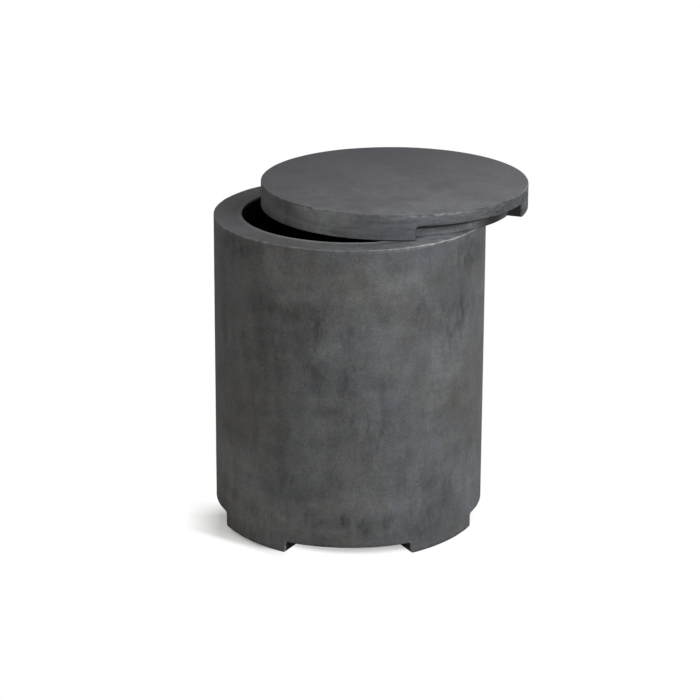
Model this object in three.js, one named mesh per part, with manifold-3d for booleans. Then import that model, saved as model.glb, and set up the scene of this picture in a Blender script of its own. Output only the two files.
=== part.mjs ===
// A round cover for a gas bottle that is also a side table, in cast glass-fibre concrete.
// A hollow shell stands on four feet over the bottle, and a loose lid closes its mouth.
// The lid is shown slid aside to the back right, as when the bottle's valve is reached.
// Lengths are in millimetres, angles in degrees. +Z is up and the floor is at zero.
// The origin is the middle of the space that the shell and the shifted lid take up.

import * as THREE from 'three';
import { mergeVertices } from 'three/addons/utils/BufferGeometryUtils.js';
import Module from 'manifold-3d';

const wasm = await Module();
wasm.setup();

// Shell
const shellDiameter = 457;
const shellHeight = 533;
const mouthDiameter = 362;
const wallThickness = 15;
const rimDepth = 22;
const rimCoveDrop = 44;
const rimEdgeRadius = 2.5;
const rimCoveRadius = 24;

// Base ring, feet and the notches between them
const baseBoreDiameter = 358;
const baseRingHeight = 42;
const baseCoveRise = 44;
const baseCoveRadius = 24;
const footEdgeRadius = 1.5;
const frontNotchWidth = 210;
const frontNotchHeight = 19;
const sideNotchWidth = 191;
const sideNotchHeight = 29.5;
const baseNotchCornerRadius = 5;

// Lid
const lidDiameter = 452;
const lidThickness = 42.5;
const lidEdgeRadius = 3;
const lidRingWidth = 43.5;
const lidSkin = 18;
const panDraft = 8;
const panCornerRadius = 12;
const panEdgeRadius = 1.5;
const fingerNotchWidth = 230;
const fingerNotchDepth = 26;
const fingerNotchHeight = 23.5;
const fingerNotchCornerRadius = 7;
const lidShift = 90.5;
const lidShiftAngle = 33.7;
const lidTurn = 38.6;

// Rubber glides under the feet
const glideDiameter = 30;
const glideThickness = 4;
const glideProud = 1;
const glideEdgeRadius = 0.8;

// Rubber bumpers under the lid
const bumperDiameter = 14;
const bumperThickness = 3;
const bumperProud = 0.5;
const bumperEdgeRadius = 0.3;

// Clearances and how far a cutter runs past the face it cuts
const pocketClearance = 0.3;
const restClearance = 0.3;
const overrun = 6;

// Counts and step angles
const turnSteps = 96;
const padSteps = 24;
const cornerSteps = 4;
const stepAngle = (2 * Math.PI) / turnSteps;
const fingerNotchAngles = [0, 180];
const bumperAngles = [45, 135, 225, 315];

// Sizes worked out from the ones above
const shellRadius = shellDiameter / 2;
const mouthRadius = mouthDiameter / 2;
const baseBoreRadius = baseBoreDiameter / 2;
const cavityRadius = shellRadius - wallThickness;
const lidRadius = lidDiameter / 2;
const footBottom = glideProud;
const rimTop = footBottom + shellHeight;
const lidBottom = rimTop + restClearance + bumperProud;
const bumperCircleRadius = lidRadius - lidRingWidth / 2;
const frontNotchHalfAngle = halfAngleOf(frontNotchWidth, shellRadius);
const sideNotchHalfAngle = halfAngleOf(sideNotchWidth, shellRadius);
const footAngle = (frontNotchHalfAngle + Math.PI / 2 - sideNotchHalfAngle) / 2;
const glideCircleRadius = (shellRadius + baseBoreRadius) / 2;

const concrete = new THREE.MeshStandardMaterial({
  name: 'cast_concrete',
  color: '#5f6265',
  roughness: 0.8,
  metalness: 0,
});

const rubber = new THREE.MeshStandardMaterial({
  name: 'moulded_rubber',
  color: '#1d1d1e',
  roughness: 0.85,
  metalness: 0,
});

// Half the angle that a notch takes up on a round face, from its width straight across
function halfAngleOf(width, radius) {
  return Math.asin(width / (2 * radius));
}

// A direction seen from above, where zero is the front (-Y) and angles grow towards +X
function heading(angle) {
  return new THREE.Vector2(Math.sin(angle), -Math.cos(angle));
}

// One corner of an outline, with the radius that rounds it
function corner(x, y, radius = 0) {
  return { point: new THREE.Vector2(x, y), radius };
}

// The points of a closed outline with its corners rounded, in the order given
function roundedOutline(corners) {
  const points = [];
  corners.forEach(({ point, radius }, i) => {
    if (radius === 0) {
      points.push(point);
      return;
    }
    const before = corners.at(i - 1).point.clone().sub(point);
    const after = corners[(i + 1) % corners.length].point.clone().sub(point);
    const room = Math.min(before.length(), after.length()) / 2;
    const toBefore = before.normalize();
    const toAfter = after.normalize();
    const halfAngle = Math.acos(toBefore.dot(toAfter)) / 2;
    const setback = Math.min(radius / Math.tan(halfAngle), room);
    const start = point.clone().addScaledVector(toBefore, setback);
    const end = point.clone().addScaledVector(toAfter, setback);
    const bisector = toBefore.clone().add(toAfter).normalize();
    const centre = point.clone().addScaledVector(bisector, setback / Math.cos(halfAngle));
    const sweep = signedAngle(start.clone().sub(centre), end.clone().sub(centre));
    for (let k = 0; k <= cornerSteps; k += 1) {
      points.push(start.clone().rotateAround(centre, (sweep * k) / cornerSteps));
    }
  });
  return points;
}

function signedAngle(from, to) {
  return Math.atan2(from.cross(to), from.dot(to));
}

// A body turned about the Z axis. Its profile is radius and height, anticlockwise, and
// either closes on itself or starts and ends on the axis.
function turned(profile, steps) {
  return new THREE.LatheGeometry(profile, steps).rotateX(Math.PI / 2);
}

function turnedRing(corners, steps) {
  const outline = roundedOutline(corners);
  return turned([...outline, outline[0]], steps);
}

// A short round plug from bottom to top, with one rounded edge at its bottom
function plug(radius, bottom, top, edgeRadius = 0) {
  const outline = roundedOutline([
    corner(0, bottom),
    corner(radius, bottom, edgeRadius),
    corner(radius, top),
    corner(0, top),
  ]);
  return turned(outline, padSteps);
}

// A closed mesh as a solid that can be cut, without the empty faces at a lathe's poles
function solidFrom(geometry) {
  const bare = geometry.clone();
  bare.deleteAttribute('normal');
  bare.deleteAttribute('uv');
  const merged = mergeVertices(bare);
  const index = merged.index.array;
  const kept = [];
  for (let i = 0; i < index.length; i += 3) {
    const [a, b, c] = index.slice(i, i + 3);
    if (a !== b && b !== c && c !== a) {
      kept.push(a, b, c);
    }
  }
  const mesh = new wasm.Mesh({
    numProp: 3,
    vertProperties: new Float32Array(merged.attributes.position.array),
    triVerts: new Uint32Array(kept),
  });
  return new wasm.Manifold(mesh);
}

function geometryFrom(solid) {
  const mesh = solid.getMesh();
  const geometry = new THREE.BufferGeometry();
  geometry.setAttribute('position', new THREE.BufferAttribute(mesh.vertProperties, 3));
  geometry.setIndex(new THREE.BufferAttribute(mesh.triVerts, 1));
  geometry.computeVertexNormals();
  return geometry;
}

function cut(body, cutters) {
  return cutters.reduce((solid, cutter) => solid.subtract(solidFrom(cutter)), solidFrom(body));
}

// A closed skin over four-cornered sections that follow each other round an arc
function sweptSections(sections) {
  const positions = sections.flat().flatMap((p) => [p.x, p.y, p.z]);
  const sides = sections[0].length;
  const index = [];
  for (let i = 0; i + 1 < sections.length; i += 1) {
    for (let j = 0; j < sides; j += 1) {
      const a = i * sides + j;
      const b = i * sides + ((j + 1) % sides);
      index.push(a, b, b + sides, a, b + sides, a + sides);
    }
  }
  const last = (sections.length - 1) * sides;
  for (let j = 1; j + 1 < sides; j += 1) {
    index.push(0, j + 1, j, last, last + j, last + j + 1);
  }
  const geometry = new THREE.BufferGeometry();
  geometry.setAttribute('position', new THREE.Float32BufferAttribute(positions, 3));
  geometry.setIndex(index);
  return geometry;
}

// The space of a notch in a round wall, open below: its side walls lie along the radius,
// its inner wall follows the curve, and its two upper corners are rounded.
function notchSpace({ middle, halfAngle, innerRadius, faceRadius, bottom, height, cornerRadius }) {
  const top = bottom + height;
  const round = Math.min(cornerRadius, height / 2);
  const near = Array.from({ length: cornerSteps + 1 }, (_, k) => {
    const turn = ((Math.PI / 2) * k) / cornerSteps;
    return { angle: (round * (1 - Math.cos(turn))) / faceRadius, z: top - round * (1 - Math.sin(turn)) };
  });
  const far = near.map(({ angle, z }) => ({ angle: 2 * halfAngle - angle, z })).reverse();
  const span = far[0].angle - near.at(-1).angle;
  const spanSteps = Math.ceil(span / stepAngle);
  const between = Array.from({ length: spanSteps - 1 }, (_, k) => (
    { angle: near.at(-1).angle + (span * (k + 1)) / spanSteps, z: top }
  ));
  return sweptSections([...near, ...between, ...far].map(({ angle, z }) => {
    const out = heading(middle - halfAngle + angle);
    const pointAt = (radius, level) => new THREE.Vector3(out.x * radius, out.y * radius, level);
    return [
      pointAt(innerRadius, bottom - overrun),
      pointAt(innerRadius, z),
      pointAt(faceRadius + overrun, z),
      pointAt(faceRadius + overrun, bottom - overrun),
    ];
  }));
}

function moved(geometry, place) {
  return geometry.clone().translate(place.x, place.y, 0);
}

function piece(name, solid, material) {
  const mesh = new THREE.Mesh(geometryFrom(solid), material);
  mesh.name = name;
  return mesh;
}

// Shell: a hollow wall with a thick rim above and a thick ring with four feet below
const shellProfile = [
  corner(baseBoreRadius, footBottom, footEdgeRadius),
  corner(shellRadius, footBottom, footEdgeRadius),
  corner(shellRadius, rimTop, rimEdgeRadius),
  corner(mouthRadius, rimTop, rimEdgeRadius),
  corner(mouthRadius, rimTop - rimDepth, rimCoveRadius),
  corner(cavityRadius, rimTop - rimDepth - rimCoveDrop, rimCoveRadius),
  corner(cavityRadius, footBottom + baseRingHeight + baseCoveRise, baseCoveRadius),
  corner(baseBoreRadius, footBottom + baseRingHeight, baseCoveRadius),
];

const baseNotches = [
  { middle: 0, halfAngle: frontNotchHalfAngle, height: frontNotchHeight },
  { middle: Math.PI / 2, halfAngle: sideNotchHalfAngle, height: sideNotchHeight },
  { middle: Math.PI, halfAngle: frontNotchHalfAngle, height: frontNotchHeight },
  { middle: -Math.PI / 2, halfAngle: sideNotchHalfAngle, height: sideNotchHeight },
].map(({ middle, halfAngle, height }) => notchSpace({
  middle,
  halfAngle,
  innerRadius: baseBoreRadius - overrun,
  faceRadius: shellRadius,
  bottom: footBottom,
  height,
  cornerRadius: baseNotchCornerRadius,
}));

const footPlaces = [footAngle, Math.PI - footAngle, Math.PI + footAngle, -footAngle]
  .map((angle) => heading(angle).multiplyScalar(glideCircleRadius));

const glidePocket = plug(
  glideDiameter / 2 + pocketClearance,
  footBottom - overrun,
  glideThickness + pocketClearance,
);

const shell = cut(turnedRing(shellProfile, turnSteps), [
  ...baseNotches,
  ...footPlaces.map((place) => moved(glidePocket, place)),
]);

const shellGroup = new THREE.Group();
shellGroup.add(piece('shell', shell, concrete));

const glide = solidFrom(plug(glideDiameter / 2, 0, glideThickness, glideEdgeRadius));
footPlaces.forEach((place, i) => {
  const mesh = piece(`foot_glide_${i + 1}`, glide, rubber);
  mesh.position.set(place.x, place.y, 0);
  shellGroup.add(mesh);
});

// Lid: a flat disc with a hollowed underside and a finger notch on two opposite sides
const panRadius = lidRadius - lidRingWidth;
const lidProfile = [
  corner(0, lidThickness - lidSkin),
  corner(panRadius - panDraft, lidThickness - lidSkin, panCornerRadius),
  corner(panRadius, 0, panEdgeRadius),
  corner(lidRadius, 0, lidEdgeRadius),
  corner(lidRadius, lidThickness, lidEdgeRadius),
  corner(0, lidThickness),
];

const fingerNotches = fingerNotchAngles.map((angle) => notchSpace({
  middle: THREE.MathUtils.degToRad(angle),
  halfAngle: halfAngleOf(fingerNotchWidth, lidRadius),
  innerRadius: lidRadius - fingerNotchDepth,
  faceRadius: lidRadius,
  bottom: 0,
  height: fingerNotchHeight,
  cornerRadius: fingerNotchCornerRadius,
}));

const bumperPlaces = bumperAngles
  .map((angle) => heading(THREE.MathUtils.degToRad(angle)).multiplyScalar(bumperCircleRadius));

const bumperPocket = plug(
  bumperDiameter / 2 + pocketClearance,
  -overrun,
  bumperThickness - bumperProud + pocketClearance,
);

const lid = cut(turned(roundedOutline(lidProfile), turnSteps), [
  ...fingerNotches,
  ...bumperPlaces.map((place) => moved(bumperPocket, place)),
]);

const lidGroup = new THREE.Group();
lidGroup.add(piece('lid', lid, concrete));

const bumper = solidFrom(plug(
  bumperDiameter / 2,
  -bumperProud,
  bumperThickness - bumperProud,
  bumperEdgeRadius,
));
bumperPlaces.forEach((place, i) => {
  const mesh = piece(`lid_bumper_${i + 1}`, bumper, rubber);
  mesh.position.set(place.x, place.y, 0);
  lidGroup.add(mesh);
});

// Where the lid lies on the rim, and the middle of the space that both take up
const shiftAngle = THREE.MathUtils.degToRad(lidShiftAngle);
const lidCentre = new THREE.Vector2(Math.cos(shiftAngle), Math.sin(shiftAngle)).multiplyScalar(lidShift);
const reach = new THREE.Box2(
  new THREE.Vector2(-shellRadius, -shellRadius),
  new THREE.Vector2(shellRadius, shellRadius),
).expandByPoint(lidCentre.clone().addScalar(lidRadius))
  .expandByPoint(lidCentre.clone().addScalar(-lidRadius));
const reachMiddle = reach.getCenter(new THREE.Vector2());

lidGroup.position.set(lidCentre.x, lidCentre.y, lidBottom);
lidGroup.rotation.z = THREE.MathUtils.degToRad(lidTurn);

const group = new THREE.Group();
group.add(shellGroup, lidGroup);
group.position.set(-reachMiddle.x, -reachMiddle.y, 0);

export default group;
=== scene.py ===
# The looks of a round concrete cover for a gas bottle, with its loose lid slid to the back right.
# Everything is in metres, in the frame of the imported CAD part. +Z is up and the front is -Y.

import math

import bmesh
import bpy
import numpy as np
from mathutils import Euler, Matrix, Vector


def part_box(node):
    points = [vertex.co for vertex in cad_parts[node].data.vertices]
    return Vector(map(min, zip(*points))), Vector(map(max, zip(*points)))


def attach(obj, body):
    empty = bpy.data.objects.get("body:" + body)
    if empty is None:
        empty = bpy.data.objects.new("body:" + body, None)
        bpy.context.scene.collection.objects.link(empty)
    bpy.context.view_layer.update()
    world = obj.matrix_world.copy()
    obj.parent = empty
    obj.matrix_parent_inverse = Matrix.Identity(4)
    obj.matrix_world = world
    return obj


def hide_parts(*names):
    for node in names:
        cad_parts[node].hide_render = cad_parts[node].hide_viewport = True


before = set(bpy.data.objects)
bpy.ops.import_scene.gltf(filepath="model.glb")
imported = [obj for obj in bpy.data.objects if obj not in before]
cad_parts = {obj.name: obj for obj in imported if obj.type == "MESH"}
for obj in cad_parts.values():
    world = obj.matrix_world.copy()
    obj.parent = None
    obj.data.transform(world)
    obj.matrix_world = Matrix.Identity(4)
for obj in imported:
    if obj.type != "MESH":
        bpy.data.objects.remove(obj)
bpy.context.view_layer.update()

# The camera, fitted to the photograph's edges. Its angles are in radians, and its lens and sensor in
# millimetres.
CAMERA_PLACE = (-0.0350, -4.5202, 1.7841)
CAMERA_PITCH = 0.3207
CAMERA_ROLL = 0.0050
CAMERA_LENS = 143.0
SENSOR_WIDTH = 36.0
CAMERA_REACH = 60.0

camera_data = bpy.data.cameras.new("camera")
camera_data.sensor_width = SENSOR_WIDTH
camera_data.lens = CAMERA_LENS
camera_data.clip_end = CAMERA_REACH
camera = bpy.data.objects.new("camera", camera_data)
camera.location = CAMERA_PLACE
tilt = Euler((math.pi / 2 - CAMERA_PITCH, 0, 0)).to_matrix()
camera.rotation_euler = (tilt @ Euler((0, 0, CAMERA_ROLL)).to_matrix()).to_euler()
bpy.context.scene.collection.objects.link(camera)
bpy.context.scene.camera = camera

# Places and heights, read from the frame
shell_low, shell_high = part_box("shell")
lid_low, lid_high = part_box("lid")
SHELL_AXIS = (shell_low + shell_high) / 2
LID_AXIS = (lid_low + lid_high) / 2
FOOT_BOTTOM = shell_low.z
RIM_TOP = shell_high.z
LID_BOTTOM = lid_low.z
LID_TOP = lid_high.z

# Shell sizes, as in the part's source
SHELL_RADIUS = 0.2285
MOUTH_RADIUS = 0.181
BORE_RADIUS = 0.179
CAVITY_RADIUS = 0.2135
RIM_DEPTH = 0.022
RIM_COVE_DROP = 0.044
BASE_RING_HEIGHT = 0.042
BASE_COVE_RISE = 0.044
COVE_RADIUS = 0.024
FRONT_NOTCH_WIDTH = 0.210
FRONT_NOTCH_HEIGHT = 0.019
SIDE_NOTCH_WIDTH = 0.191
SIDE_NOTCH_HEIGHT = 0.0295

# Lid sizes, as in the part's source
LID_RADIUS = 0.226
PAN_RADIUS = 0.1825
PAN_DEPTH = 0.0245
PAN_DRAFT = 0.008
PAN_CORNER = 0.012
FINGER_NOTCH_WIDTH = 0.230
FINGER_NOTCH_HEIGHT = 0.0235
FINGER_NOTCH_DEPTH = 0.026
LID_TURN = math.radians(38.6)

# Corners of the notches as they have worn, low at their mouths and high at their ceilings
FOOT_CORNER = 0.004
NOTCH_CORNER = 0.005
FINGER_LIP_CORNER = 0.0025
FINGER_NOTCH_CORNER = 0.007

# Roundings of the worn edges
FOOT_EDGE = 0.0022
BORE_EDGE = 0.0015
RIM_OUTER_EDGE = 0.0014
RIM_MOUTH_EDGE = 0.0013
LID_TOP_EDGE = 0.0015
LID_LIP_EDGE = 0.0016
PAN_EDGE = 0.0015

# The room that a worn edge takes with its deepest knock, the knocks' width, and how far past a
# rounding its rubbed line fades
EDGE_ROOM = 0.0055
KNOCK_WIDTH = 0.005
EDGE_FADE = 0.0004

# How much the feet have worn at each side, from which turn away from the front or back, and over how much
RIGHT_FOOT_WEAR = 0.0064
LEFT_FOOT_WEAR = 0.0050
FOOT_WEAR_FROM = math.radians(30)
FOOT_WEAR_OVER = math.radians(35)

# How the castings' meshes are laid out: the step along a lower edge, the points round each of its
# corners, the width over which a corner's columns fan out, the height where the wall's columns stand
# straight, and how far the plain rows of a flat face keep from its edges
COLUMN_STEP = 0.0034
CORNER_POINTS = 6
COLUMN_FAN = 0.004
STRAIGHT_FROM = 0.110
FLAT_MARGIN = 0.012

# How far under its radius the wall's face still takes dabs, and how near each other points are welded
FACE_DEPTH = 0.0012
WELD_DISTANCE = 0.000002

# Sizes of the concrete's patterns, measured across a cloud, dab, patch or grain. The sand's are drawn
# coarser than the real 0.3 to 0.6 mm, so that they show at this distance.
CLOUD_SIZE = 0.170
UPRIGHT_DAB_SIZE = 0.022
LEVEL_DAB_SIZE = 0.028
UPRIGHT_RAG_SIZE = 0.010
LEVEL_RAG_SIZE = 0.007
DAMP_PATCH_SIZE = 0.050
SCREED_LAYER_SIZE = 0.008
SAND_SIZE = 0.0025
COARSE_SAND_SIZE = 0.006
CELL_SIZE = 0.026
RUBBED_PATCH_SIZE = 0.013
SCUFF_STROKE_SIZE = 0.009
GRAIN_HEIGHT = 0.0006

# The size of each drift of the pigment and the two tints that it goes between
PIGMENT_DRIFTS = ((0.024, "#fffdf7", "#f9fbff"), (0.016, "#f9fffc", "#fffbff"))

# Sizes of the rubber's patterns
DUST_SIZE = 0.006
RUBBER_GRAIN_SIZE = 0.001
RUBBER_GRAIN_HEIGHT = 0.0002

# Marks that a casting's rows carry for its material, each from 0 to 1. Besides wear and tone, they carry
# painted shade inside and under things, and painted light, shade and highlights on the rim, the lid's side
# and the edges.
MARKS = ("edge", "shade", "trowelled", "banded", "scuffed_and_lit", "dark_and_shade", "pale_and_light")

# Dabs on the shell's wall where the brushed sealer lies thick and dark, and where it is thin and pale,
# each as degrees round from the front, height, half width, half height and strength
DARK_DABS = (
    (-16, 0.414, 0.034, 0.042, 0.70),
    (-12, 0.385, 0.012, 0.034, 0.50),
    (0, 0.319, 0.010, 0.030, 0.85),
    (-3, 0.300, 0.007, 0.036, 0.45),
    (14, 0.292, 0.006, 0.034, 0.60),
    (1, 0.232, 0.010, 0.018, 0.65),
    (-8, 0.262, 0.026, 0.012, 0.40),
    (25, 0.276, 0.010, 0.014, 0.50),
    (29, 0.431, 0.014, 0.028, 0.85),
    (44, 0.412, 0.050, 0.034, 0.60),
    (54, 0.402, 0.008, 0.036, 0.70),
    (60, 0.501, 0.048, 0.028, 0.95),
    (19, 0.510, 0.012, 0.014, 0.60),
    (12, 0.220, 0.026, 0.032, 0.60),
    (-17, 0.338, 0.040, 0.034, 0.42),
    (41, 0.485, 0.007, 0.018, 0.60),
    (-25, 0.119, 0.038, 0.021, 0.70),
    (-6, 0.137, 0.018, 0.022, 0.60),
    (-15, 0.068, 0.015, 0.014, 1.80),
    (-2, 0.068, 0.012, 0.013, 1.20),
    (7, 0.058, 0.013, 0.015, 1.60),
    (16, 0.064, 0.015, 0.011, 1.10),
    (35, 0.122, 0.016, 0.026, 0.60),
    (47, 0.100, 0.014, 0.032, 0.65),
    (40, 0.075, 0.040, 0.014, 0.45),
    (-65, 0.366, 0.014, 0.050, 0.70),
    (-36, 0.426, 0.055, 0.016, 0.70),
    (-31, 0.347, 0.014, 0.040, 0.65),
    (-38, 0.340, 0.010, 0.050, 0.35),
    (-54, 0.507, 0.050, 0.020, 1.00),
    (0, 0.387, 0.029, 0.024, 0.50),
    (48, 0.367, 0.026, 0.031, 0.85),
    (-14, 0.316, 0.024, 0.046, 0.45),
    (12, 0.222, 0.058, 0.044, 0.35),
    (37, 0.050, 0.036, 0.024, 0.65),
    (22, 0.036, 0.046, 0.014, 0.50),
    (61, 0.412, 0.030, 0.024, 0.60),
    (37, 0.478, 0.017, 0.012, 0.50),
    (63, 0.226, 0.028, 0.018, 0.50),
    (4, 0.124, 0.030, 0.016, 0.45),
    (118, 0.390, 0.030, 0.040, 0.60),
    (150, 0.300, 0.010, 0.034, 0.70),
    (160, 0.180, 0.014, 0.026, 0.60),
    (171, 0.430, 0.040, 0.026, 0.60),
    (196, 0.210, 0.026, 0.040, 0.60),
    (204, 0.330, 0.008, 0.034, 0.60),
    (228, 0.360, 0.014, 0.036, 0.60),
    (249, 0.150, 0.034, 0.022, 0.55),
)
PALE_DABS = (
    (-7, 0.374, 0.024, 0.026, 0.12),
    (20, 0.468, 0.046, 0.022, 0.09),
    (46, 0.341, 0.044, 0.044, 0.12),
    (7, 0.109, 0.052, 0.022, 0.09),
    (-33, 0.508, 0.020, 0.030, 0.17),
    (-58, 0.118, 0.078, 0.046, 0.18),
    (-30, 0.461, 0.038, 0.024, 0.13),
    (4, 0.453, 0.100, 0.014, 0.06),
    (40, 0.270, 0.036, 0.032, 0.08),
    (65, 0.099, 0.038, 0.058, 0.11),
    (-49, 0.046, 0.090, 0.034, 0.14),
    (-19, 0.055, 0.070, 0.024, 0.08),
    (29, 0.120, 0.019, 0.036, 0.06),
    (134, 0.210, 0.040, 0.040, 0.10),
    (182, 0.330, 0.036, 0.030, 0.10),
    (215, 0.470, 0.044, 0.022, 0.09),
)


# Colours and nodes
def linear(hex_code):
    """An sRGB hex colour as the linear colour that Blender's sockets take."""
    values = [int(hex_code[i : i + 2], 16) / 255 for i in (1, 3, 5)]
    return (*[v / 12.92 if v <= 0.04045 else ((v + 0.055) / 1.055) ** 2.4 for v in values], 1.0)


def node(tree, kind, inputs=None, **settings):
    """A node with its settings and inputs. An input that is another node's socket is linked."""
    made = tree.nodes.new(kind)
    for name, value in settings.items():
        setattr(made, name, value)
    for key, value in (inputs or {}).items():
        if isinstance(value, bpy.types.NodeSocket):
            tree.links.new(value, made.inputs[key])
        else:
            made.inputs[key].default_value = value
    return made


def new_material(name):
    """A material and its empty tree."""
    made = bpy.data.materials.new(name)
    made.use_nodes = True
    made.node_tree.nodes.clear()
    return made, made.node_tree


def noise(tree, place, size, detail, roughness):
    """Cloudy noise from 0 to 1, with clouds about size metres across."""
    inputs = {"Vector": place, "Scale": 1 / size, "Detail": detail, "Roughness": roughness}
    return node(tree, "ShaderNodeTexNoise", inputs).outputs["Fac"]


def stretched(tree, place, scale):
    """A place in which patterns are drawn longer along each axis whose scale is under 1."""
    return node(tree, "ShaderNodeMapping", {"Vector": place, "Scale": scale}).outputs["Vector"]


def spread(tree, value, before, after):
    """A value moved from the range before to the range after, and held at its ends."""
    ends = dict(zip(("From Min", "From Max", "To Min", "To Max"), (*before, *after)))
    return node(tree, "ShaderNodeMapRange", {"Value": value, **ends}).outputs["Result"]


def sums(tree, operation, first, second):
    """One sum of two values."""
    return node(tree, "ShaderNodeMath", {0: first, 1: second}, operation=operation).outputs[0]


def vector_sums(tree, operation, first, second):
    """One sum of two vectors, as both of its outputs."""
    return node(tree, "ShaderNodeVectorMath", {0: first, 1: second}, operation=operation).outputs


def scaled(tree, vector, amount):
    """A vector or a colour times an amount."""
    return node(tree, "ShaderNodeVectorMath", {0: vector, "Scale": amount}, operation="SCALE").outputs[0]


def lightened(tree, colour, amount):
    """A colour made lighter by an amount above zero, or darker by one below."""
    return scaled(tree, colour, sums(tree, "ADD", amount, 1.0))


def mixed(tree, amount, first, second, blend="MIX"):
    """Two colours mixed."""
    inputs = {0: amount, 6: first, 7: second}
    return node(tree, "ShaderNodeMix", inputs, data_type="RGBA", blend_type=blend).outputs[2]


# Glass-fibre reinforced concrete, tinted charcoal, cast in a smooth mould and sealed matt. It gives
# the eye soft clouds and blotches, fine sand, a few air pinholes and paler rubbed edges, and it lays
# on the painted shade, painted light and painted highlights that the castings' marks carry.
def make_concrete():
    made, tree = new_material("cast_gfrc_concrete_charcoal")
    place = node(tree, "ShaderNodeTexCoord").outputs["Object"]
    marks = {mark: node(tree, "ShaderNodeAttribute", attribute_name=mark).outputs["Fac"] for mark in MARKS}
    rough_part = sums(tree, "SUBTRACT", 1.0, marks["trowelled"])

    # Wide clouds, as the cement paste settles unevenly
    settled = spread(tree, noise(tree, place, CLOUD_SIZE, 3, 0.5), (0.35, 0.65), (0.0, 1.0))
    wall = mixed(tree, settled, linear("#5e5d5d"), linear("#606367"))
    top = mixed(tree, settled, linear("#56555c"), linear("#5d5c64"))
    colour = mixed(tree, marks["trowelled"], wall, top)

    # Dabs that are two and a half times as long as wide, upright and level, as the sealer was
    # brushed both ways
    upright = stretched(tree, place, (1.0, 1.0, 0.4))
    level = stretched(tree, place, (0.4, 0.4, 1.0))
    up_dabs = noise(tree, upright, UPRIGHT_DAB_SIZE, 4, 0.60)
    level_dabs = noise(tree, level, LEVEL_DAB_SIZE, 4, 0.55)
    dabs = sums(tree, "ADD", up_dabs, level_dabs)
    mottle = spread(tree, dabs, (0.75, 1.25), (-0.20, 0.17))
    mottle = sums(tree, "MULTIPLY", mottle, spread(tree, rough_part, (0.0, 1.0), (0.25, 1.0)))
    colour = lightened(tree, colour, mottle)

    # The pigment drifts a little, warm to blue and green to plum
    for size, first, second in PIGMENT_DRIFTS:
        drift = spread(tree, noise(tree, place, size, 3, 0.5), (0.35, 0.65), (0.0, 1.0))
        tint = mixed(tree, drift, linear(first), linear(second))
        colour = mixed(tree, 1.0, colour, tint, "MULTIPLY")

    # Damp-looking dark patches, a little blue, and ragged dabs that are darker for thick sealer and for
    # painted shade, and paler for thin sealer and for painted light
    up_rags = noise(tree, upright, UPRIGHT_RAG_SIZE, 4, 0.6)
    level_rags = noise(tree, level, LEVEL_RAG_SIZE, 4, 0.6)
    rags = node(tree, "ShaderNodeMix", {0: marks["banded"], 2: up_rags, 3: level_rags}).outputs[0]
    thick_and_shade = sums(tree, "MULTIPLY", marks["dark_and_shade"], spread(tree, rags, (0.34, 0.60), (1.6, 0.3)))
    damp_and_shade = spread(tree, noise(tree, upright, DAMP_PATCH_SIZE, 4, 0.5), (0.30, 0.46), (0.26, 0.0))
    damp_and_shade = sums(tree, "MULTIPLY", damp_and_shade, rough_part)
    damp_and_shade = sums(tree, "ADD", damp_and_shade, sums(tree, "MULTIPLY", thick_and_shade, 0.5))
    colour = mixed(tree, sums(tree, "MINIMUM", damp_and_shade, 0.75), colour, linear("#34363a"))
    thin_and_light = sums(tree, "MULTIPLY", marks["pale_and_light"], spread(tree, dabs, (0.80, 1.20), (0.6, 1.4)))
    colour = mixed(tree, sums(tree, "MINIMUM", thin_and_light, 1.0), colour, linear("#a0a3a5"))

    # Level bands round the lid's side, where it was filled and screeded in layers
    layers = stretched(tree, place, (0.12, 0.12, 1.0))
    bands = spread(tree, noise(tree, layers, SCREED_LAYER_SIZE, 4, 0.65), (0.3, 0.7), (-0.24, 0.24))
    colour = lightened(tree, colour, sums(tree, "MULTIPLY", bands, marks["banded"]))

    # Sand, fine and coarse, which the trowel presses in on the smooth parts
    sand = noise(tree, place, SAND_SIZE, 2, 0.8)
    coarse = noise(tree, place, COARSE_SAND_SIZE, 3, 0.7)
    fine_grain = spread(tree, sand, (0.3, 0.7), (-0.22, 0.22))
    coarse_grain = spread(tree, coarse, (0.3, 0.7), (-0.12, 0.12))
    grain = sums(tree, "ADD", fine_grain, coarse_grain)
    grain = sums(tree, "MULTIPLY", grain, spread(tree, rough_part, (0.0, 1.0), (0.4, 1.0)))
    colour = lightened(tree, colour, grain)

    # Air pinholes about 2 mm across, where the middle of one in three cells meets the face
    cells = node(tree, "ShaderNodeTexVoronoi", {"Vector": place, "Scale": 1 / CELL_SIZE}).outputs
    chance = node(tree, "ShaderNodeSeparateColor", {"Color": cells["Color"]}).outputs
    hole = spread(tree, cells["Distance"], (0.030, 0.052), (1.0, 0.0))
    hole = sums(tree, "MULTIPLY", hole, spread(tree, chance[0], (0.66, 0.70), (0.0, 0.8)))
    colour = mixed(tree, hole, colour, linear("#1a1b1c"))

    # A pale grain of sand of 1 to 2 mm here and there
    speck = spread(tree, cells["Distance"], (0.022, 0.040), (1.0, 0.0))
    speck = sums(tree, "MULTIPLY", speck, spread(tree, chance[1], (0.10, 0.12), (0.7, 0.0)))
    colour = mixed(tree, sums(tree, "MULTIPLY", speck, rough_part), colour, linear("#a9adae"))

    # Edges rubbed pale in patches, which also carry painted highlights
    rubbed_and_highlit = spread(tree, noise(tree, place, RUBBED_PATCH_SIZE, 5, 0.72), (0.42, 0.60), (0.0, 0.9))
    colour = mixed(tree, sums(tree, "MULTIPLY", marks["edge"], rubbed_and_highlit), colour, linear("#a2a6aa"))

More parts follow.
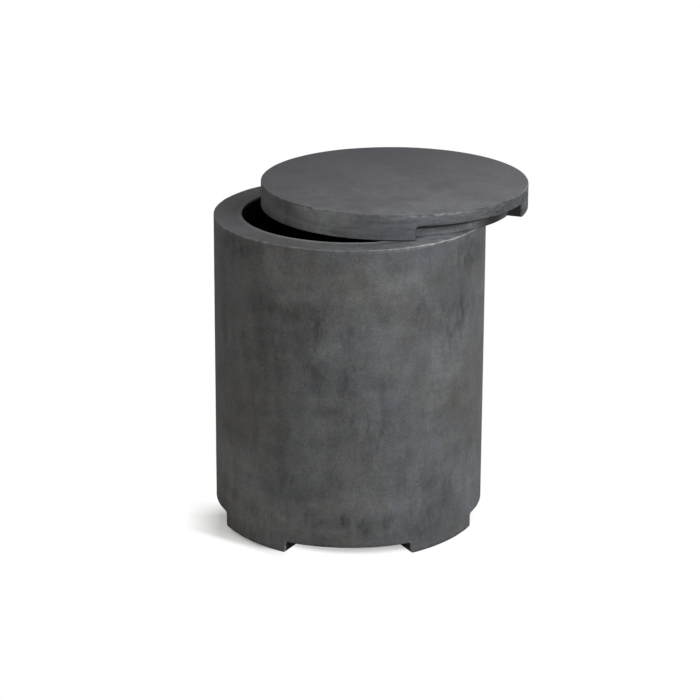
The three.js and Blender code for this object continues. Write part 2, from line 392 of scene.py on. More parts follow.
    # The rim is scuffed in strokes where the lid slides over it, and the same strokes paint light where the
    # lid's shadow falls
    swept = stretched(tree, place, (0.25, 1.0, 1.0))
    strokes = spread(tree, noise(tree, swept, SCUFF_STROKE_SIZE, 4, 0.70), (0.38, 0.64), (0.0, 0.9))
    colour = mixed(tree, sums(tree, "MULTIPLY", marks["scuffed_and_lit"], strokes), colour, linear("#c8ccd0"))

    # Painted shade: the inside, the undersides and the recesses are darkened nearly black
    colour = mixed(tree, marks["shade"], colour, linear("#0a0a0b"))

    # The sand stands out a little and the pinholes lie deeper
    height = sums(tree, "ADD", sums(tree, "MULTIPLY", sand, 0.4), coarse)
    height = sums(tree, "SUBTRACT", height, sums(tree, "MULTIPLY", hole, 2.0))
    bump = node(tree, "ShaderNodeBump", {"Height": height, "Strength": 0.9, "Distance": GRAIN_HEIGHT})
    inputs = {
        "Base Color": colour,
        "Roughness": spread(tree, dabs, (0.75, 1.25), (0.58, 0.64)),
        "Specular IOR Level": 0.30,
        "Normal": bump.outputs["Normal"],
    }
    shader = node(tree, "ShaderNodeBsdfPrincipled", inputs)
    node(tree, "ShaderNodeOutputMaterial", {"Surface": shader.outputs[0]})
    return made


# Moulded nitrile rubber, which gives the eye a dull black with a little dust on it
def make_rubber():
    made, tree = new_material("moulded_nitrile_rubber_black")
    place = node(tree, "ShaderNodeTexCoord").outputs["Object"]
    dust = noise(tree, place, DUST_SIZE, 4, 0.6)
    dusty = spread(tree, dust, (0.4, 0.7), (0.0, 1.0))
    grain = noise(tree, place, RUBBER_GRAIN_SIZE, 2, 0.55)
    bump = node(tree, "ShaderNodeBump", {"Height": grain, "Strength": 0.2, "Distance": RUBBER_GRAIN_HEIGHT})
    inputs = {
        "Base Color": mixed(tree, dusty, linear("#19191a"), linear("#2b2a29")),
        "Roughness": spread(tree, dust, (0.3, 0.7), (0.62, 0.8)),
        "Specular IOR Level": 0.35,
        "Normal": bump.outputs["Normal"],
    }
    shader = node(tree, "ShaderNodeBsdfPrincipled", inputs)
    node(tree, "ShaderNodeOutputMaterial", {"Surface": shader.outputs[0]})
    return made


concrete = make_concrete()
rubber = make_rubber()


# Geometry Nodes
def new_rule(name, inputs):
    """A Geometry Nodes tree with named inputs and a material, and its input node."""
    tree = bpy.data.node_groups.new(name, "GeometryNodeTree")
    for label, kind in (*inputs.items(), ("Material", "Material")):
        tree.interface.new_socket(label, in_out="INPUT", socket_type="NodeSocket" + kind)
    tree.interface.new_socket("Geometry", in_out="OUTPUT", socket_type="NodeSocketGeometry")
    return tree, node(tree, "NodeGroupInput")


def finish_rule(tree, start, geometry):
    """The end of each tree: instances made real, the material set, and the mesh handed out."""
    real = node(tree, "GeometryNodeRealizeInstances", {"Geometry": geometry})
    inputs = {"Geometry": real.outputs["Geometry"], "Material": start.outputs["Material"]}
    dressed = node(tree, "GeometryNodeSetMaterial", inputs)
    node(tree, "NodeGroupOutput", {"Geometry": dressed.outputs["Geometry"]})


def unevenness_rule():
    """A casting's face is never quite true: each point sinks a little, by soft noise of a given size."""
    inputs = {"Casting": "Geometry", "Depth": "Float", "Size": "Float", "Seed": "Float"}
    tree, start = new_rule("hand_cast_unevenness", inputs)
    scale = sums(tree, "DIVIDE", 1.0, start.outputs["Size"])
    inputs = {"W": start.outputs["Seed"], "Scale": scale, "Detail": 2.0, "Roughness": 0.45}
    swell = node(tree, "ShaderNodeTexNoise", inputs, noise_dimensions="4D").outputs["Fac"]
    sunk = sums(tree, "MULTIPLY", spread(tree, swell, (0.25, 0.75), (-1.0, 0.0)), start.outputs["Depth"])
    normal = node(tree, "GeometryNodeInputNormal").outputs["Normal"]
    inputs = {"Geometry": start.outputs["Casting"], "Offset": scaled(tree, normal, sunk)}
    moved = node(tree, "GeometryNodeSetPosition", inputs)
    finish_rule(tree, start, moved.outputs["Geometry"])
    return tree


def four_pads_rule():
    """One pad set on the four corners of a rectangle, turned about its middle."""
    inputs = {"Pad": "Geometry", "Wide": "Float", "Deep": "Float", "Turn": "Float", "Middle": "Vector"}
    tree, start = new_rule("rubber_pads_on_four_places", inputs)
    inputs = {
        "Size X": start.outputs["Wide"],
        "Size Y": start.outputs["Deep"],
        "Vertices X": 2,
        "Vertices Y": 2,
    }
    corners = node(tree, "GeometryNodeMeshGrid", inputs)
    turn = node(tree, "ShaderNodeCombineXYZ", {"Z": start.outputs["Turn"]})
    inputs = {
        "Geometry": corners.outputs["Mesh"],
        "Translation": start.outputs["Middle"],
        "Rotation": turn.outputs["Vector"],
    }
    placed = node(tree, "GeometryNodeTransform", inputs)
    inputs = {"Points": placed.outputs["Geometry"], "Instance": start.outputs["Pad"]}
    pads = node(tree, "GeometryNodeInstanceOnPoints", inputs)
    finish_rule(tree, start, pads.outputs["Instances"])
    return tree


def grown(carrier, rule, values):
    """The carrier with the plain mesh that a rule makes from it and from the rule's named inputs."""
    modifier = carrier.modifiers.new("rule", "NODES")
    modifier.node_group = rule
    known = {s.name: s.identifier for s in rule.interface.items_tree if s.in_out == "INPUT"}
    for name, value in values.items():
        modifier[known[name]] = value
    bpy.context.view_layer.update()
    depsgraph = bpy.context.evaluated_depsgraph_get()
    result = carrier.evaluated_get(depsgraph)
    mesh = bpy.data.meshes.new_from_object(result, preserve_all_data_layers=True, depsgraph=depsgraph)
    carrier.modifiers.clear()
    carrier.data = mesh
    return carrier


# Values round a circle. Angle 0 is the front, and angles grow towards +X.
def turn_from(angles, middle):
    """The turn from a heading to each angle, the short way round, in radians."""
    return (angles - middle + math.pi) % (2 * math.pi) - math.pi


def near(angles, middle, width):
    """1 at a heading, falling off softly to each side, all in radians."""
    return np.exp(-((turn_from(angles, middle) / width) ** 2))


def patches(angles, everywhere, *spots):
    """A mark's strength round a casting: one value everywhere, with soft spots added to it, each as
    strength, degrees round from the front and width in radians."""
    total = everywhere
    for strength, degrees, width in spots:
        total = total + strength * near(angles, math.radians(degrees), width)
    return total


def wander(angles, depth, waves, seed):
    """A value that wanders smoothly round the circle, about depth to each side of zero."""
    random = np.random.RandomState(seed)
    total = np.zeros_like(angles)
    for _ in range(10):
        total += np.sin(random.randint(waves[0], waves[1]) * angles + random.uniform(0, 2 * math.pi))
    return depth * total / math.sqrt(10)


def knocks(angles, radius, depth, count, seed):
    """Small knocks along a round edge, each one a soft dip of its own depth."""
    random = np.random.RandomState(seed)
    total = np.zeros_like(angles)
    for middle in random.uniform(-math.pi, math.pi, count):
        dip = depth * random.uniform(0.3, 1) * near(angles, middle, KNOCK_WIDTH / radius)
        total = np.maximum(total, dip)
    return total


# Shapes
def notched_edge(radius, notches, foot_round, notch_round):
    """The lower edge of a round wall with notches in it, from (middle, half angle, height) of each.
    For each of its points: its angle, height, the way into the material as (angle, height), and the
    angles where the wall's column ends above the notches, and below them on a notch's inner wall."""
    corners = []
    for middle, half_angle, tall in notches:
        left, right = (middle - half_angle) * radius, (middle + half_angle) * radius
        corners += [(left, 0, foot_round), (left, tall, notch_round)]
        corners += [(right, tall, notch_round), (right, 0, foot_round)]
    turn = np.array((2 * math.pi * radius, 0))
    spots = [np.array(corner[:2]) for corner in corners]
    spots = [spots[-1] - turn] + spots + [spots[0] + turn]
    rounds = [corners[-1][2]] + [corner[2] for corner in corners] + [corners[0][2]]
    points, normals, ends = [], [], []
    for i in range(1, len(spots) - 1):
        way_in = spots[i] - spots[i - 1]
        way_in = way_in / np.linalg.norm(way_in)
        way_out = spots[i + 1] - spots[i]
        way_out = way_out / np.linalg.norm(way_out)
        centre = spots[i] + (way_out - way_in) * rounds[i]
        for angle in np.linspace(0, math.pi / 2, CORNER_POINTS):
            way = way_in * math.cos(angle) + way_out * math.sin(angle)
            points.append(centre + rounds[i] * (way_in * math.sin(angle) - way_out * math.cos(angle)))
            normals.append((-way[1], way[0]))
        ends.append((len(points) - CORNER_POINTS, len(points) - 1))
        start = spots[i] + way_out * rounds[i]
        end = spots[i + 1] - way_out * rounds[i + 1]
        pieces = max(1, round(float(np.linalg.norm(end - start)) / COLUMN_STEP))
        for k in range(1, pieces):
            points.append(start + (end - start) * k / pieces)
            normals.append((-way_out[1], way_out[0]))
    points, normals = np.array(points), np.array(normals)
    steps = np.linalg.norm(np.diff(points, axis=0, append=points[:1] + turn), axis=1)
    reach = np.concatenate([[0], np.cumsum(steps)])
    columns = []
    for above in (True, False):
        at, to = [], []
        for i, (x, z, r) in enumerate(corners):
            side = -1 if i % 4 < 2 else 1
            begin, end = ends[i]
            upright, flat = (begin, end) if i % 4 in (1, 3) else (end, begin)
            if z == 0 and above:
                at.append(reach[upright])
                to.append(x + side * 2 * COLUMN_FAN)
            elif z == 0:
                at.append(reach[flat])
                to.append(x + side * r)
            else:
                upright_place = x + (side if above else -side) * COLUMN_FAN
                flat_place = x - side * (r + (0 if above else COLUMN_FAN))
                pairs = [(upright, upright_place), (flat, flat_place)]
                for spot, place in sorted(pairs, key=lambda pair: reach[pair[0]]):
                    at.append(reach[spot])
                    to.append(place)
        at = np.array([at[-1] - reach[-1], *at, at[0] + reach[-1]])
        to = np.array([to[-1] - turn[0], *to, to[0] + turn[0]])
        columns.append(np.interp(reach[:-1], at, to) / radius)
    return points[:, 0] / radius, points[:, 1], normals * (1 / radius, 1), columns[0], columns[1]


def ring(angles, radius, height):
    """Points round an axis."""
    angles, radius, height = np.broadcast_arrays(angles, radius, height)
    return np.stack([radius * np.sin(angles), -radius * np.cos(angles), height], axis=1)


def lower_row_maker(rows, angle, low, normal, above, straight):
    """A function that adds a row near a wall's lower edge."""

    def lower_row(radius, inset, share, marks):
        """A row inset into the material, and a share of the way up to where the columns are straight."""
        start_angle, start_height = angle + normal[:, 0] * inset, low + normal[:, 1] * inset
        turned = start_angle + (above - start_angle) * share
        rows.append((ring(turned, radius, start_height + (straight - start_height) * share), marks))

    return lower_row


def quarter(steps):
    """Shares of an edge's rounding, along its second face and its first, from the first to the second."""
    return [(1 - math.cos(turn), 1 - math.sin(turn)) for turn in np.linspace(0, math.pi / 2, steps)]


def rounded(corners, steps):
    """A line with rounded corners, each given as (x, z, radius)."""
    points = []
    for i, (x, z, r) in enumerate(corners):
        point = Vector((x, z))
        if r == 0:
            points.append(tuple(point))
            continue
        before = (Vector(corners[i - 1][:2]) - point).normalized()
        after = (Vector(corners[i + 1][:2]) - point).normalized()
        half = before.angle(after) / 2
        centre = point + (before + after).normalized() * (r / math.sin(half))
        start = point + before * (r / math.tan(half)) - centre
        end = point + after * (r / math.tan(half)) - centre
        for k in range(steps + 1):
            points.append(tuple(centre + (start.lerp(end, k / steps)).normalized() * r))
    return points


def skin(name, rows, poles=(None, None), closed=False):
    """A mesh over rows of points that follow each other round a solid, each row with its marks."""
    columns = len(rows[0][0])
    points = [tuple(point) for row in rows for point in row[0]]
    ends = []
    faces = []
    for j in range(len(rows) if closed else len(rows) - 1):
        a, b = j * columns, ((j + 1) % len(rows)) * columns
        for i in range(columns):
            n = (i + 1) % columns
            faces.append((a + i, b + i, b + n, a + n))
    for pole, j in ((poles[0], 0), (poles[1], len(rows) - 1)):
        if pole is not None:
            points.append(pole)
            ends.append(rows[j][1])
            first = j * columns
            faces += [(len(points) - 1, first + i, first + (i + 1) % columns) for i in range(columns)]
    mesh = bpy.data.meshes.new(name)
    mesh.from_pydata(points, [], faces)
    for mark in MARKS:
        values = [np.broadcast_to(row[1].get(mark, 0.0), columns) for row in rows]
        values = np.concatenate([*values, [np.mean(end.get(mark, 0.0)) for end in ends]])
        mesh.attributes.new(mark, "FLOAT", "POINT").data.foreach_set("value", values.astype(np.float32))
    work = bmesh.new()
    work.from_mesh(mesh)
    bmesh.ops.remove_doubles(work, verts=work.verts, dist=WELD_DISTANCE)
    bmesh.ops.recalc_face_normals(work, faces=work.faces)
    for face in work.faces:
        face.smooth = True
    work.to_mesh(mesh)
    work.free()
    made = bpy.data.objects.new(name, mesh)
    bpy.context.scene.collection.objects.link(made)
    return made


def lay_dabs(casting, mark, radius, dabs):
    """Soft dabs on a round casting's wall, written to one of its marks."""
    mesh = casting.data
    points = np.empty(len(mesh.vertices) * 3, np.float32)
    mesh.vertices.foreach_get("co", points)
    points = points.reshape(-1, 3)
    angles = np.arctan2(points[:, 0], -points[:, 1])
    on_wall = np.hypot(points[:, 0], points[:, 1]) > radius - FACE_DEPTH
    total = np.zeros(len(points))
    for degrees, height, wide, tall, strength in dabs:
        across = radius * turn_from(angles, math.radians(degrees)) / wide
        up = (points[:, 2] - height) / tall
        total += strength * np.exp(-np.abs(across) ** 2.5 - np.abs(up) ** 2.5)
    values = mesh.attributes[mark].data
    held = np.empty(len(points), np.float32)
    values.foreach_get("value", held)
    marked = np.where(on_wall, np.maximum(held, total), held)
    values.foreach_set("value", marked.astype(np.float32))


def make_shell():
    """Rows go from the outer wall's foot up over the rim, down the inside and out under the feet."""
    quarter_turn = math.pi / 2
    front = (math.asin(FRONT_NOTCH_WIDTH / 2 / SHELL_RADIUS), FRONT_NOTCH_HEIGHT)
    side = (math.asin(SIDE_NOTCH_WIDTH / 2 / SHELL_RADIUS), SIDE_NOTCH_HEIGHT)
    notches = [(quarter_turn * k, *(side if k % 2 else front)) for k in range(4)]
    angle, low, normal, above, _ = notched_edge(SHELL_RADIUS, notches, FOOT_CORNER, NOTCH_CORNER)

    # The feet are worn shorter towards the side notches
    from_front = np.abs((angle + quarter_turn) % math.pi - quarter_turn)
    to_side = np.clip((from_front - FOOT_WEAR_FROM) / FOOT_WEAR_OVER, 0, 1) ** 0.9
    lift = to_side * np.where(np.sin(angle) > 0, RIGHT_FOOT_WEAR, LEFT_FOOT_WEAR)
    low = low + FOOT_BOTTOM + lift * (1 - low / SIDE_NOTCH_HEIGHT)
    rows = []
    lower_row = lower_row_maker(rows, angle, low, normal, above, STRAIGHT_FROM)

    # The outer wall, from its worn lower edge up to where the columns stand straight
    worn = FOOT_EDGE + wander(angle, depth=0.0003, waves=(8, 60), seed=4)
    upright = np.abs(normal[:, 0]) * SHELL_RADIUS
    # The lower edge's upright corners are rubbed pale with painted highlights, and its flat undersides
    # darkened with painted shade
    foot_marks = {"edge": 0.8 * upright, "dark_and_shade": 0.8 * (1 - upright)}
    for inward, upward in reversed(quarter(5)):
        lower_row(SHELL_RADIUS - worn * inward, worn * upward, 0, foot_marks)
    for share in np.linspace(0, 1, 15)[1:] ** 1.15:
        lower_row(SHELL_RADIUS, worn, share, {})

    # The rim's worn edges and its marks: paler at the front and front right, partly scuffs where the lid
    # slides off and partly painted light where the lid's shadow falls, and darker at the back left
    outer_edge = RIM_OUTER_EDGE + wander(above, depth=0.00028, waves=(14, 70), seed=7)
    outer_edge += knocks(above, SHELL_RADIUS, depth=0.0011, count=30, seed=11)
    mouth_edge = RIM_MOUTH_EDGE + wander(above, depth=0.00015, waves=(3, 25), seed=9)
    mouth_edge += knocks(above, MOUTH_RADIUS, depth=0.0008, count=8, seed=12)
    rim = {
        "trowelled": 0.6,
        "scuffed_and_lit": patches(above, 0.04, (0.9, 42, 0.36)),
        "pale_and_light": patches(above, 0.03, (0.26, -10, 0.5), (0.12, -57, 0.25), (0.75, 46, 0.26)),
        "dark_and_shade": patches(above, 0, (0.5, -108, 0.50)),
    }
    # Painted highlights with the wear along the outer edge, strongest at the front right and front left;
    # painted light with the mottling over the outer half, at the front right and front; and a painted
    # highlight along the mouth's front edge
    rubbed_and_highlit = patches(above, 0.10, (0.66, 33, 0.40), (0.50, -48, 0.42))
    mottled_and_lit = patches(above, 0, (1.0, 36, 0.32), (0.7, 5, 0.22))
    mouth_highlight = patches(above, 0.10, (0.8, -20, 0.70), (0.9, 5, 0.35))

    # The wall above, and over the rim's outer edge
    plain_wall_top = RIM_TOP - 0.010
    for height in np.linspace(STRAIGHT_FROM, plain_wall_top, 64)[1:]:
        rows.append((ring(above, SHELL_RADIUS, height), {}))
    for drop, edge in ((0.005, 0), (0.002, 0.1 * rubbed_and_highlit + 0.3 * mottled_and_lit), (EDGE_FADE, 0.6 * rubbed_and_highlit)):
        rows.append((ring(above, SHELL_RADIUS, RIM_TOP - outer_edge - drop), {"edge": edge}))
    for inward, upward in quarter(6):
        place = ring(above, SHELL_RADIUS - outer_edge * inward, RIM_TOP - outer_edge * upward)
        rows.append((place, {**rim, "edge": rubbed_and_highlit}))

    # The rim, mottled with painted light in its outer half, and its painted highlight round the mouth
    for past, edge in ((EDGE_FADE, 0.6 * rubbed_and_highlit), (0.0035, 0.6 * mottled_and_lit), (0.0070, 0.6 * mottled_and_lit)):
        rows.append((ring(above, SHELL_RADIUS - outer_edge - past, RIM_TOP), {**rim, "edge": edge}))
    mottled_from, mottled_over = 0.198, 0.012
    for radius in np.linspace(SHELL_RADIUS - FLAT_MARGIN, MOUTH_RADIUS + FLAT_MARGIN, 6):
        outward = np.clip((radius - mottled_from) / mottled_over, 0, 1)
        rows.append((ring(above, radius, RIM_TOP), {**rim, "edge": 0.55 * mottled_and_lit * outward}))
    for before, share in ((0.0075, 0.35), (0.0040, 0.8), (EDGE_FADE, 1.0)):
        place = ring(above, MOUTH_RADIUS + mouth_edge + before, RIM_TOP)
        rows.append((place, {**rim, "pale_and_light": np.maximum(rim["pale_and_light"], share * mouth_highlight)}))
    for inward, upward in reversed(quarter(6)):
        place = ring(above, MOUTH_RADIUS + mouth_edge * inward, RIM_TOP - mouth_edge * upward)
        rows.append((place, {**rim, "pale_and_light": mouth_highlight}))

    # The inside: rim, cove, cavity, cove and base ring, darkened nearly black as painted shade
    rim_bottom = RIM_TOP - RIM_DEPTH
    base_top = FOOT_BOTTOM + BASE_RING_HEIGHT
    half_way_up = 0.30
    corners = [
        (MOUTH_RADIUS, RIM_TOP - EDGE_ROOM, 0),
        (MOUTH_RADIUS, rim_bottom, COVE_RADIUS / 2),
        (CAVITY_RADIUS, rim_bottom - RIM_COVE_DROP, COVE_RADIUS),
        (CAVITY_RADIUS, half_way_up, 0),
        (CAVITY_RADIUS, base_top + BASE_COVE_RISE, COVE_RADIUS),
        (BORE_RADIUS, base_top, COVE_RADIUS / 2),
        (BORE_RADIUS, FOOT_BOTTOM, 0),
    ]
    inner = rounded(corners, 6)
    for radius, height in inner:
        if height > STRAIGHT_FROM:
            rows.append((ring(above, radius, height), {"shade": 1.0}))
    by_height = np.array(sorted(inner, key=lambda point: point[1]))
    start_height = low + normal[:, 1] * BORE_EDGE
    for share in np.linspace(1, 0, 18):
        height = start_height + (STRAIGHT_FROM - start_height) * share
        lower_row(np.interp(height, by_height[:, 1], by_height[:, 0]), BORE_EDGE, share, {"shade": 1.0})

    # Round the bore's edge, and out under the feet and the notches' ceilings, all darkened as painted shade
    for inward, upward in quarter(4)[1:]:
        lower_row(BORE_RADIUS + BORE_EDGE * inward, BORE_EDGE * upward, 0, {"shade": 0.7})
    for radius in np.linspace(BORE_RADIUS + 0.006, SHELL_RADIUS - 0.006, 6):
        lower_row(radius, 0, 0, {"shade": 0.7})
    made = skin("concrete_shell", rows, closed=True)
    lay_dabs(made, "dark_and_shade", SHELL_RADIUS, DARK_DABS)
    lay_dabs(made, "pale_and_light", SHELL_RADIUS, PALE_DABS)
    made.data.transform(Matrix.Translation((SHELL_AXIS.x, SHELL_AXIS.y, 0)))
    return made


def make_lid():
    """Rows go from the top's middle out over the edge, down the side, in under the finger notches'
    ceilings, down their inner walls, and over the ring on its underside into the pan."""
    half_angle = math.asin(FINGER_NOTCH_WIDTH / 2 / LID_RADIUS)
    notches = [(LID_TURN + math.pi * k, half_angle, FINGER_NOTCH_HEIGHT) for k in range(2)]
    lower_edge = notched_edge(LID_RADIUS, notches, FINGER_LIP_CORNER, FINGER_NOTCH_CORNER)
    angle, low, normal, above, below = lower_edge
    low = low + LID_BOTTOM
    # Painted shade on the side towards the right, painted light on it at the front left, and painted
    # highlights with the wear along the top edge at the front right and front left
    shaded_side = patches(above, 0, (0.60, 20, 0.6), (1.7, 66, 0.45))
    lit_side = patches(above, 0.06, (0.32, -36, 0.24), (0.10, -68, 0.24))
    worn_and_highlit_top = patches(above, 0.22, (1.0, 17, 0.20), (0.55, -33, 0.16))
    side = {"banded": 1.0, "trowelled": 0.5, "dark_and_shade": shaded_side, "pale_and_light": lit_side}
    rows = []

    def top_row(radius, edge):
        """A row on the top, with painted light that makes it a little paler towards the front."""
        place = ring(above, radius, LID_TOP)
        across, back = place[:, 0] / LID_RADIUS, place[:, 1] / LID_RADIUS
        front_light = np.maximum(0, 0.38 - 0.52 * back) * (1 - 0.45 * across**2) * (1 + 0.15 * across)
        rows.append((place, {"trowelled": 1.0, "edge": edge, "pale_and_light": 0.38 * front_light}))

    # The top and its worn edge, with painted highlights
    edge_round = LID_TOP_EDGE + wander(above, depth=0.00015, waves=(3, 25), seed=21)
    edge_round += knocks(above, LID_RADIUS, depth=0.0008, count=12, seed=23)
    for radius in np.linspace(FLAT_MARGIN, LID_RADIUS - FLAT_MARGIN, 16):
        top_row(radius, 0)
    top_row(LID_RADIUS - edge_round - 0.0025, 0)
    top_row(LID_RADIUS - edge_round - EDGE_FADE, 0.5 * worn_and_highlit_top)
    for inward, upward in reversed(quarter(6)):
        place = ring(above, LID_RADIUS - edge_round * inward, LID_TOP - edge_round * upward)
        rows.append((place, {"edge": worn_and_highlit_top, "trowelled": 0.7, "dark_and_shade": 0.7 * shaded_side}))
    place = ring(above, LID_RADIUS, LID_TOP - edge_round - EDGE_FADE)
    rows.append((place, {**side, "edge": 0.6 * worn_and_highlit_top}))
    straight = LID_TOP - EDGE_ROOM
    rows.append((ring(above, LID_RADIUS, straight), side))

    # The side down to the worn lower edge, which carries a painted contact shadow, darkest at the front
    # beside the finger notch
    worn = LID_LIP_EDGE + wander(angle, depth=0.0003, waves=(8, 60), seed=25)
    lower_row = lower_row_maker(rows, angle, low, normal, above, straight)
    for share in np.linspace(1, 0, 11)[1:]:
        lower_row(LID_RADIUS, worn, share, side)
    lip = {**side, "edge": 0.1, "shade": patches(angle, 0.2, (0.7, 0, 0.14))}
    for inward, upward in quarter(5)[1:]:
        lower_row(LID_RADIUS - worn * inward, worn * upward, 0, lip)

    # In to the depth of the finger notches, whose ceilings are darkened with painted shade, and down their
    # inner walls, which carry painted shade in their upper part and at the right of the front one
    inner_wall = LID_RADIUS - FINGER_NOTCH_DEPTH
    for radius in np.linspace(LID_RADIUS - 0.004, inner_wall, 7):
        lower_row(radius, 0, 0, {"banded": 1.0, "shade": 0.75})
    right_notch_shade = np.maximum(patches(angle, 0, (0.92, 54, 0.28)), patches(angle, 0, (0.6, 80, 0.45)))
    upper_part = 0.45
    for share in np.linspace(0, 1, 17)[1:]:
        turned = angle + (below - angle) * share
        height = low + (LID_BOTTOM - low) * share
        notch_shade = np.maximum(right_notch_shade, 0.9 if share < upper_part else 0.42 - 0.9 * (share - upper_part))
        rows.append((ring(turned, inner_wall, height), {"banded": 1.0, "pale_and_light": 0.25, "shade": notch_shade}))

    # The ring on the underside and the pan, darkened with painted shade
    pan_top = LID_BOTTOM + PAN_DEPTH
    corners = [
        (inner_wall - 0.004, LID_BOTTOM, 0),
        (PAN_RADIUS, LID_BOTTOM, PAN_EDGE),
        (PAN_RADIUS - PAN_DRAFT, pan_top, PAN_CORNER),
        (0.10, pan_top, 0),
        (0.02, pan_top, 0),
    ]
    for radius, height in rounded(corners, 6):
        rows.append((ring(below, radius, height), {"shade": 0.8}))
    made = skin("concrete_lid", rows, ((0, 0, LID_TOP), (0, 0, pan_top)))
    made.data.transform(Matrix.Translation((LID_AXIS.x, LID_AXIS.y, 0)))
    return made


def make_pads(name, nodes, radius, edge, dish):
    """Four turned pads of moulded rubber that stand for the CAD's pads, with a shallow dish underneath."""
    boxes = [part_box(each) for each in nodes]
    bottom, top = boxes[0][0].z, boxes[0][1].z
    tall = top - bottom
    middles = [(low + high) / 2 for low, high in boxes]
    middle = sum(middles, Vector()) / 4
    first_side, second_side = middles[1] - middles[0], middles[2] - middles[1]

    # The dish takes up about half of the radius, and the pad's edge is rounded in two steps
    profile = [(radius * 0.45, dish), (radius * 0.55, 0), (radius - edge, 0)]
    profile += [(radius - edge * 0.3, edge * 0.3), (radius, edge), (radius, tall - edge)]
    profile += [(radius - edge, tall)]
    around = np.linspace(0, 2 * math.pi, 49)[:-1]
    rows = [(ring(around, r, z), {}) for r, z in profile]
    pad = skin(name, rows, ((0, 0, dish), (0, 0, tall)))
    values = {
        "Wide": first_side.length,
        "Deep": second_side.length,
        "Turn": math.atan2(first_side.y, first_side.x),
        "Middle": (middle.x, middle.y, bottom),
        "Material": rubber,
    }
    return grown(pad, four_pads, values)


unevenness = unevenness_rule()
four_pads = four_pads_rule()

shell = grown(make_shell(), unevenness, {"Depth": 0.0004, "Size": 0.09, "Seed": 1.5, "Material": concrete})
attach(shell, "shell")
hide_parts("shell")

lid = grown(make_lid(), unevenness, {"Depth": 0.00015, "Size": 0.08, "Seed": 7.5, "Material": concrete})
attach(lid, "lid")
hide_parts("lid")

glide_nodes = [f"foot_glide_{k}" for k in (1, 2, 3, 4)]
glides = make_pads("rubber_foot_glides", glide_nodes, radius=0.015, edge=0.0008, dish=0.0006)
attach(glides, "shell")
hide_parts(*glide_nodes)

bumper_nodes = [f"lid_bumper_{k}" for k in (1, 2, 3, 4)]
bumpers = make_pads("rubber_lid_bumpers", bumper_nodes, radius=0.007, edge=0.0003, dish=0.0003)
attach(bumpers, "lid")
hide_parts(*bumper_nodes)


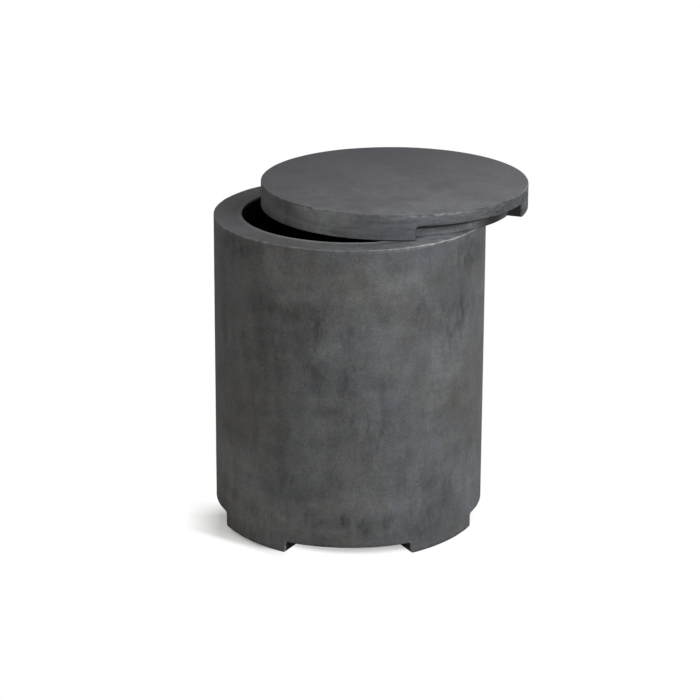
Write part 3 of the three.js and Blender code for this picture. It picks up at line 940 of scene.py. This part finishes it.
# Studio
def make_floor():
    """A pale floor that shows the object's shadow close to it and runs out to white."""
    made, tree = new_material("studio_floor_pale")
    place = node(tree, "ShaderNodeNewGeometry").outputs["Position"]
    flat = vector_sums(tree, "MULTIPLY", place, (1.0, 1.0, 0.0))["Vector"]
    from_axis = vector_sums(tree, "ADD", flat, (-SHELL_AXIS.x, -SHELL_AXIS.y, 0.0))["Vector"]
    parts = node(tree, "ShaderNodeSeparateXYZ", {"Vector": from_axis}).outputs
    slant = vector_sums(tree, "DOT_PRODUCT", from_axis, (-0.597, -0.802, 0.0))["Value"]

    # The shadow beside the left feet, soft to the left, and where it ends to the right, front and back
    left, right = (-0.279, -0.218), (-0.150, -0.100)
    front, back = (0.231, 0.247), (-0.035, 0.035)
    beside = spread(tree, parts["X"], left, (0.0, 1.0))
    for along, ends in ((parts["X"], right), (slant, front), (parts["Y"], back)):
        beside = sums(tree, "MULTIPLY", beside, spread(tree, along, ends, (1.0, 0.0)))

    # The shadow under the shell, seen through the front notch
    away = vector_sums(tree, "DISTANCE", from_axis, (0.012, 0.0, 0.0))["Value"]
    under = spread(tree, away, (0.190, 0.208), (0.64, 0.0))
    catching = sums(tree, "MAXIMUM", beside, under)

    # The floor inside the shell, which little light reaches
    shade = spread(tree, away, (0.160, 0.182), (1.0, 0.0))
    glow = sums(tree, "SUBTRACT", spread(tree, catching, (0.0, 1.0), (1.0, 0.25)), shade)
    glow = sums(tree, "MAXIMUM", glow, 0.0)

    # What is seen of it is white and catches the shadow. What it throws back on the object is dimmer.
    path = node(tree, "ShaderNodeLightPath")
    unseen = sums(tree, "SUBTRACT", 1.0, path.outputs["Is Camera Ray"])
    white = node(tree, "ShaderNodeEmission", {"Color": (1.0, 1.0, 1.0, 1.0), "Strength": glow})
    lit = mixed(tree, catching, linear("#000000"), linear("#fafafa"))
    pale_and_light = node(tree, "ShaderNodeBsdfDiffuse", {"Color": lit})
    dim = node(tree, "ShaderNodeBsdfDiffuse", {"Color": linear("#cecac2")})
    seen = node(tree, "ShaderNodeAddShader", {0: white.outputs[0], 1: pale_and_light.outputs[0]})
    both = node(tree, "ShaderNodeMixShader", {0: unseen, 1: seen.outputs[0], 2: dim.outputs[0]})
    node(tree, "ShaderNodeOutputMaterial", {"Surface": both.outputs[0]})

    mesh = bpy.data.meshes.new("studio_floor")
    half, level = 15.0, -0.0003
    corners = [(-half, -half, level), (half, -half, level), (half, half, level), (-half, half, level)]
    mesh.from_pydata(corners, [], [(0, 1, 2, 3)])
    mesh.materials.append(made)
    floor = bpy.data.objects.new("studio_floor", mesh)
    bpy.context.scene.collection.objects.link(floor)


def make_lamp(name, place, target, size, power, colour):
    """A square soft lamp that faces its target."""
    data = bpy.data.lights.new(name, "AREA")
    data.size = size
    data.energy = power
    data.color = colour
    lamp = bpy.data.objects.new(name, data)
    lamp.location = place
    lamp.rotation_euler = (Vector(target) - Vector(place)).to_track_quat("-Z", "Y").to_euler()
    lamp.visible_camera = False
    bpy.context.scene.collection.objects.link(lamp)


def make_world():
    """A low even fill, a little warm. The camera sees it as white."""
    world = bpy.data.worlds.new("studio_fill")
    bpy.context.scene.world = world
    world.use_nodes = True
    tree = world.node_tree
    tree.nodes.clear()
    path = node(tree, "ShaderNodeLightPath")
    fill = node(tree, "ShaderNodeBackground", {"Color": (1.0, 0.975, 0.93, 1.0), "Strength": 0.34})
    white = node(tree, "ShaderNodeBackground", {"Color": (1.0, 1.0, 1.0, 1.0), "Strength": 1.0})
    inputs = {0: path.outputs["Is Camera Ray"], 1: fill.outputs[0], 2: white.outputs[0]}
    both = node(tree, "ShaderNodeMixShader", inputs)
    node(tree, "ShaderNodeOutputWorld", {"Surface": both.outputs[0]})


# Each lamp's name, place, target, size, power in watts and colour
LAMPS = (
    ("key_right", (1.9, -1.7, 1.3), (0.0, 0.0, 0.35), 1.4, 42.0, (0.915, 0.957, 1.0)),
    ("front_left", (-0.6, -3.2, 1.9), (0.0, 0.0, 0.4), 1.8, 15.5, (1.0, 0.99, 0.935)),
    ("back_right", (0.9, 1.3, 1.1), (0.1, 0.0, 0.55), 0.8, 11.0, (0.96, 0.98, 1.0)),
)

make_floor()
make_world()
for lamp in LAMPS:
    make_lamp(*lamp)
bpy.context.scene.view_settings.view_transform = "Standard"
